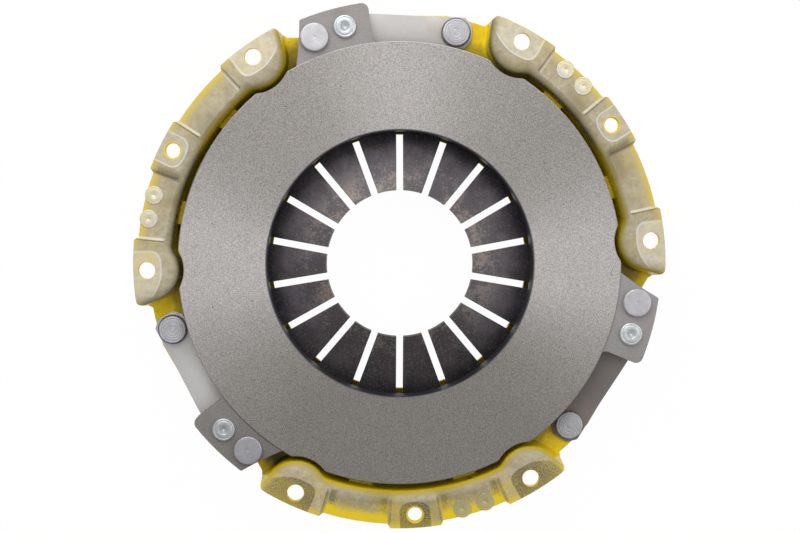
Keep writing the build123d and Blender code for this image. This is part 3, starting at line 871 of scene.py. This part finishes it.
set_of_three(cover_rivet, "cover_rivet_{}", "cover_side")
print("cover rivet faces:", len(cover_rivet.data.polygons))

# %% [markdown]
# The rivets in the lugs are brighter. Their heads are closed by a pointed tool that leaves a
# clean conical dimple inside a low rim.

# %% Rivets that hold the straps to the lugs
pack_back = LUG_BACK - PACK
lug_rivet_drawing = [
    (5.4, pack_back - 2.2), (5.9, pack_back - 2.05), (6.2, pack_back - 1.6), (6.2, pack_back),
    (4.0, pack_back), (4.0, LUG_TOP), (5.95, LUG_TOP), (6.15, LUG_TOP + 0.2), (6.15, LUG_TOP + 1.5),
    (6.02, LUG_TOP + 1.8), (5.7, LUG_TOP + 1.98), (5.3, LUG_TOP + 2.05), (5.1, LUG_TOP + 1.95),
    (4.85, LUG_TOP + 1.95), (4.65, LUG_TOP + 2.1), (3.9, LUG_TOP + 2.18), (3.0, LUG_TOP + 2.2),
    (2.6, LUG_TOP + 2.12), (2.3, LUG_TOP + 1.85), (1.5, LUG_TOP + 0.9), (0.9, LUG_TOP + 0.3),
    (0.45, LUG_TOP + 0.02), (0.15, LUG_TOP - 0.05),
]
lug_rivet = turn_up("lug_rivet_1_turned", STRAP_STOP, lug_rivet_drawing, "bright")
set_of_three(lug_rivet, "lug_rivet_{}", "plate_side")
print("lug rivet faces:", len(lug_rivet.data.polygons))

# %% [markdown]
# The stop pins have the widest heads, faced off flat on a lathe. Only fine rings and the tiny
# mark of the centre show.

# %% Stop pins
stop_z = SHELF - SHEET - 0.3
stop_pin_drawing = [
    (5.4, stop_z - 2.2), (5.9, stop_z - 2.05), (6.2, stop_z - 1.6), (6.2, stop_z), (4.5, stop_z),
    (4.5, LUG_TOP), (7.4, LUG_TOP), (7.65, LUG_TOP + 0.25), (7.65, LUG_TOP + 2.4), (7.55, LUG_TOP + 2.75),
    (7.3, LUG_TOP + 2.95), (6.9, LUG_TOP + 3.0), (5.0, LUG_TOP + 2.98), (3.0, LUG_TOP + 2.96),
    (1.0, LUG_TOP + 2.95), (0.45, LUG_TOP + 2.93), (0.2, LUG_TOP + 2.78),
]
spot = on_circle(STOP_PIN_CIRCLE, FIRST_GROUP + STOP_PIN_OFFSET)
stop_pin = turn_up("stop_pin_1_turned", spot, stop_pin_drawing, "turned")
set_of_three(stop_pin, "stop_pin_{}", "plate_side")
print("stop pin faces:", len(stop_pin.data.polygons))

# %% [markdown]
# Two flat plugs sit side by side in one recess of each pad group. They are almost flush, with
# a faint rolled edge and a centre pop.

# %% Flange plugs
plug_back = -SHEET - RECESS
flange_drawing = [
    (4.6, plug_back - 1.6), (4.9, plug_back - 1.3), (4.9, plug_back), (3.0, plug_back), (3.0, -RECESS),
    (4.8, -RECESS), (4.9, -RECESS + 0.1), (4.9, -RECESS + 0.3), (4.75, -RECESS + 0.45), (4.45, -RECESS + 0.5),
    (4.2, -RECESS + 0.46), (3.9, -RECESS + 0.46), (3.7, -RECESS + 0.49), (0.7, -RECESS + 0.49),
    (0.45, -RECESS + 0.4), (0.2, -RECESS + 0.25),
]
for letter, offset in FLANGE_RIVETS:
    spot = on_circle(FLANGE_RIVET_CIRCLE, FIRST_GROUP + offset)
    plug = turn_up(f"flange_rivet_1{letter}_turned", spot, flange_drawing, "plug", 48)
    set_of_three(plug, "flange_rivet_{}" + letter, "cover_side")
print("plug faces:", len(plug.data.polygons))

# %% [markdown]
# ## Straps: three leaves, pulled out step by step
#
# Each strap is a pack of three thin spring leaves, riveted to the cover's shelf at one end and
# to the back of a lug at the other. It lies flat where it is clamped and climbs between in one
# soft S. We draw one leaf as a flat end, then pull its far edge along the S in short steps,
# clip the corners with a vertex bevel, and let a Solidify modifier give it its thickness.

# %% One leaf of a strap
SPAN = (STRAP_STOP - STRAP_START).length
RISE = LUG_BACK - PACK - SHELF
END, CLAMPED, CLIP, STEPS = 9.0, 11.0, 4.0, 16


def strap_leaf(name, layer):
    start_clean()
    bpy.ops.mesh.primitive_plane_add(size=STRAP_WIDTH * MM, location=(0, 0, 0))
    leaf = bpy.context.object
    bpy.ops.object.mode_set(mode="EDIT")
    pick(leaf, "verts", lambda v: v.co.x < 0)
    bpy.ops.transform.translate(value=((STRAP_WIDTH / 2 - END) * MM, 0, 0))
    pick(leaf, "verts", lambda v: v.co.x > 0.005)
    bpy.ops.transform.translate(value=((CLAMPED - STRAP_WIDTH / 2) * MM, 0, 0))
    pick(leaf, "edges", lambda e: all(v.co.x > (CLAMPED - 0.1) * MM for v in e.verts))
    reach = SPAN - 2 * CLAMPED
    done = 0.0
    for step in range(1, STEPS + 1):
        share = step / STEPS
        climb = RISE * share * share * (3 - 2 * share)
        move = (reach / STEPS * MM, 0, (climb - done) * MM)
        bpy.ops.mesh.extrude_region_move(TRANSFORM_OT_translate={"value": move})
        done = climb
    bpy.ops.mesh.extrude_region_move(TRANSFORM_OT_translate={"value": ((CLAMPED + END) * MM, 0, 0)})
    pick(leaf, "verts", lambda v: v.co.x < (0.1 - END) * MM)
    bpy.ops.mesh.bevel(offset=(CLIP + 0.6 * layer) * MM, segments=1, affect="VERTICES")
    pick(leaf, "verts", lambda v: v.co.x > (SPAN + END - 0.1) * MM)
    bpy.ops.mesh.bevel(offset=CLIP * MM, segments=6, affect="VERTICES")
    bpy.ops.object.mode_set(mode="OBJECT")
    wall = leaf.modifiers.new("thickness", "SOLIDIFY")
    wall.thickness, wall.offset = LEAF * MM * 0.96, 1.0
    edge = leaf.modifiers.new("edges", "BEVEL")
    edge.width, edge.segments, edge.limit_method, edge.angle_limit = 0.12 * MM, 2, "ANGLE", radians(50)
    for modifier in ("thickness", "edges"):
        bpy.ops.object.modifier_apply(modifier=modifier)
    along = STRAP_STOP - STRAP_START
    leaf.rotation_euler = (0, 0, atan2(along.y, along.x))
    leaf.location = (STRAP_START.x * MM, STRAP_START.y * MM, (SHELF + layer * LEAF + 0.01) * MM)
    return settle(leaf, name, "strap", 40.0)


for layer in range(LEAVES):
    leaf = strap_leaf(f"strap_1_leaf_{layer + 1}_bent", layer)
    for index in range(GROUPS):
        node = f"strap_{index + 1}_leaf_{layer + 1}"
        twin = leaf if index == 0 else copy_turned(leaf, node + "_bent", SECTOR * index)
        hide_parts(node)
print("strap span", round(SPAN, 2), "mm, rise", round(RISE, 2), "mm, leaf faces", len(leaf.data.polygons))

# %% [markdown]
# A strap bends when the plate lifts: its cover end stays, its lug end goes with the plate. The
# bend runs from where the cover's clamp ends to where the lug's clamp starts; here each leaf
# only has its place baked into its mesh.

# %% Each leaf's place is baked into its mesh
for index in range(GROUPS):
    for layer in range(LEAVES):
        leaf = bpy.data.objects[f"strap_{index + 1}_leaf_{layer + 1}_bent"]
        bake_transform(leaf)
print("straps blend over", round(SPAN - 2 * CLAMPED, 1), "mm")

# %% [markdown]
# ## The diaphragm spring
#
# The spring is a shallow cone of sheet steel whose inner part is slit into 18 fingers, with a
# round hole at the root of every slit so that it cannot crack. A cone without ends is the
# quickest start: give it thickness, then cut the slits and holes with one cutter that is
# copied round the axis. Cutting last keeps the cone's facets true.

# %% Cone, slits and root holes
CONE, SPRING_SHEET, RIM, TIP = 13.0, 2.6, 116.0, 40.7
RING_CIRCLE, RING_HEIGHT, RING_REACH = 113.0, -35.1, 2.05
SEAT_RADIUS = RING_CIRCLE + (RING_REACH + SPRING_SHEET / 2) * sin(radians(CONE))
SEAT_HEIGHT = RING_HEIGHT + (RING_REACH + SPRING_SHEET / 2) * cos(radians(CONE))
FINGERS, FIRST_SLIT, SLIT, ROOT, ROOT_HOLE = 18, 6.6, 3.8, 85.0, 8.0


def spring_height(radius):
    return SEAT_HEIGHT + (SEAT_RADIUS - radius) * tan(radians(CONE))


def cutter_ring(add_cutter):
    """Copies of a cutter, one for each finger, joined in one object."""
    start_clean()
    add_cutter()
    first = bpy.context.object
    bpy.ops.object.transform_apply(location=True, rotation=True, scale=True)
    twins = [copy_turned(first, "cutter", FIRST_SLIT + 360 / FINGERS * n) for n in range(FINGERS)]
    bpy.data.objects.remove(first)
    start_clean()
    for twin in twins:
        twin.select_set(True)
    bpy.context.view_layer.objects.active = twins[0]
    bpy.ops.object.join()
    return bpy.context.object


def cut(piece, cutter):
    select_only(piece)
    knife = piece.modifiers.new("cut", "BOOLEAN")
    knife.object, knife.operation, knife.solver = cutter, "DIFFERENCE", "EXACT"
    bpy.ops.object.modifier_apply(modifier="cut")
    bpy.data.objects.remove(cutter)


start_clean()
low, high = spring_height(RIM), spring_height(TIP)
bpy.ops.mesh.primitive_cone_add(vertices=180, radius1=RIM * MM, radius2=TIP * MM, depth=(high - low) * MM,
                                end_fill_type="NOTHING", location=(0, 0, (low + high) / 2 * MM))
spring = bpy.context.object
bpy.ops.object.transform_apply(location=True, rotation=True, scale=True)
wall = spring.modifiers.new("thickness", "SOLIDIFY")
wall.thickness, wall.offset, wall.use_even_offset = SPRING_SHEET * MM, 0.0, True
bpy.ops.object.modifier_apply(modifier="thickness")
cut(spring, cutter_ring(lambda: bpy.ops.mesh.primitive_cube_add(
    size=1, location=(ROOT / 2 * MM, 0, -0.02), scale=(ROOT * MM, SLIT * MM, 0.06))))
cut(spring, cutter_ring(lambda: bpy.ops.mesh.primitive_cylinder_add(
    vertices=32, radius=ROOT_HOLE / 2 * MM, depth=0.06, location=(ROOT * MM, 0, -0.02))))
settle(spring, "diaphragm_spring_slit", "spring", 30.0)
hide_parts("diaphragm_spring")
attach(spring, "cover_side")
print("spring faces:", len(spring.data.polygons), "tips", round(high, 1), "mm, rim", round(low, 1), "mm")

# %% [markdown]
# When the fingers are pulled back, the cone flattens and lets the plate lift by 4 mm. Where the
# plate's ridge touches, at 92 mm from the axis, the spring has to sink by the same 4 mm, and
# that sets how much of its height it keeps.

# %% How much of its height the spring keeps as the plate lifts
RIDGE, LIFT = 92.0, 4.0
keep = 1 - LIFT / (spring_height(RIDGE) - SEAT_HEIGHT)
SEAT_HEIGHT * MM
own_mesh(spring)
print("the spring keeps", round(keep, 3), "of its height")
print("the tips move", round((high - SEAT_HEIGHT) * (1 - keep), 1), "mm")

# %% [markdown]
# ## The table
#
# The photograph is a cut-out on pure white. A white table does the same: it lets the camera see
# almost nothing but plain white, with two hundredths of real shading left in, so that a trace
# of the object's shadow stays. Light still falls on the table and bounces off it as from paper.
# Mirrors and glass would see the same white, through the other two ray types.

# %% White table
TABLE_RADIUS, TABLE_GAP, PLAIN_WHITE = 12.0, 0.0001, 0.98


def seen_white(finish):
    """1 for rays from the camera, off a mirror or through glass, and 0 for light."""
    path = finish.node("ShaderNodeLightPath")
    outputs = path.socket.node.outputs
    kinds = ("Is Camera Ray", "Is Glossy Ray", "Is Transmission Ray")
    rays = [Value(finish, outputs[kind]) for kind in kinds]
    return rays[0].math("MAXIMUM", rays[1]).math("MAXIMUM", rays[2])


def white_table():
    start_clean()
    bpy.ops.mesh.primitive_circle_add(vertices=96, radius=TABLE_RADIUS, fill_type="NGON",
                                      location=(0, 0, cad_box[0].z - TABLE_GAP))
    table = bpy.context.object
    bpy.ops.object.transform_apply(location=True, rotation=True, scale=True)
    table.name = "table"
    finish = Finish("table_white")
    finish.set(base_color=(0.93, 0.93, 0.93, 1.0), roughness=0.8)
    glow = finish.node("ShaderNodeEmission", None, {"Color": (1, 1, 1, 1), "Strength": 1.0})
    paper = Value(finish, finish.shader.outputs[0])
    share = seen_white(finish) * PLAIN_WHITE
    both = finish.node("ShaderNodeMixShader", None, {0: share, 1: paper, 2: glow})
    finish.plug(finish.tree.nodes["Material Output"].inputs["Surface"], both)
    table.data.materials.append(finish.material)
    table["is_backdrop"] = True


white_table()
print("table at", round(cad_box[0].z / MM, 2), "mm")

# %% [markdown]
# ## Light
#
# The light in the photograph is broad and soft, and stronger from the top of the picture: what
# stands up throws its faint shadow downwards. A white world gives the even part: the camera
# sees it in full, and it lights at less than half of that. One lamp beyond the top edge gives
# the direction, and a larger one far out to the right lights the other side. Together they
# light a level white surface to just about white, so that a colour comes out as written.

# %% World and lamps
world = bpy.context.scene.world or bpy.data.worlds.new("studio")
bpy.context.scene.world = world
world.use_nodes = True
sky = world.node_tree
sky.nodes.clear()
path, both, out = [sky.nodes.new("ShaderNode" + kind) for kind in ("LightPath", "MixShader", "OutputWorld")]
sky.links.new(path.outputs["Is Camera Ray"], both.inputs[0])
sky.links.new(both.outputs[0], out.inputs["Surface"])
for slot, strength in ((1, 0.4), (2, 1.0)):
    white = sky.nodes.new("ShaderNodeBackground")
    white.inputs["Color"].default_value = (1, 1, 1, 1)
    white.inputs["Strength"].default_value = strength
    sky.links.new(white.outputs[0], both.inputs[slot])


def soft_lamp(name, place, size, power):
    """A square lamp that faces the middle of the object."""
    start_clean()
    bpy.ops.object.light_add(type="AREA", location=place)
    lamp = bpy.context.object
    lamp.name = name
    lamp.data.size, lamp.data.energy = size, power
    lamp.rotation_euler = (-Vector(place)).to_track_quat("-Z", "Y").to_euler()
    return lamp


soft_lamp("key_above", (-0.16, 0.58, 0.6), 0.7, 4.6)
soft_lamp("fill_right", (1.3, 0.1, 1.6), 1.4, 9.0)
print("lamps: 2")

# %% [markdown]
# ## Camera
#
# The picture was taken from straight above, about 85 cm away, with a lens of some 70 mm. The
# object is turned by 3.4 degrees in the frame, which here is a turn of the camera, because the
# frame's axes stay with the part.

# %% Camera at the photograph's place
start_clean()
bpy.ops.object.camera_add(location=(-0.01726, 0.03833, 0.84343),
                          rotation=(radians(-2.607), radians(-1.31), radians(-3.355)))
camera = bpy.context.object
camera.data.sensor_width = 36.0
camera.data.lens = 69.7
bpy.context.scene.camera = camera
bpy.context.scene.view_settings.view_transform = "Standard"
print("camera", [round(v, 3) for v in camera.location])

# %% [markdown]
# ## Close the frame
#
# Both boxes are measured, the CAD's and the finished model's, and the largest change between
# them is printed, because the finish must not change the size.

# %% The size, before and after the finish
seen_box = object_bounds()
changes = [abs(a - b) for cad, seen in zip(cad_box, seen_box) for a, b in zip(cad, seen)]
print("largest change in mm:", round(max(changes) / MM, 3))
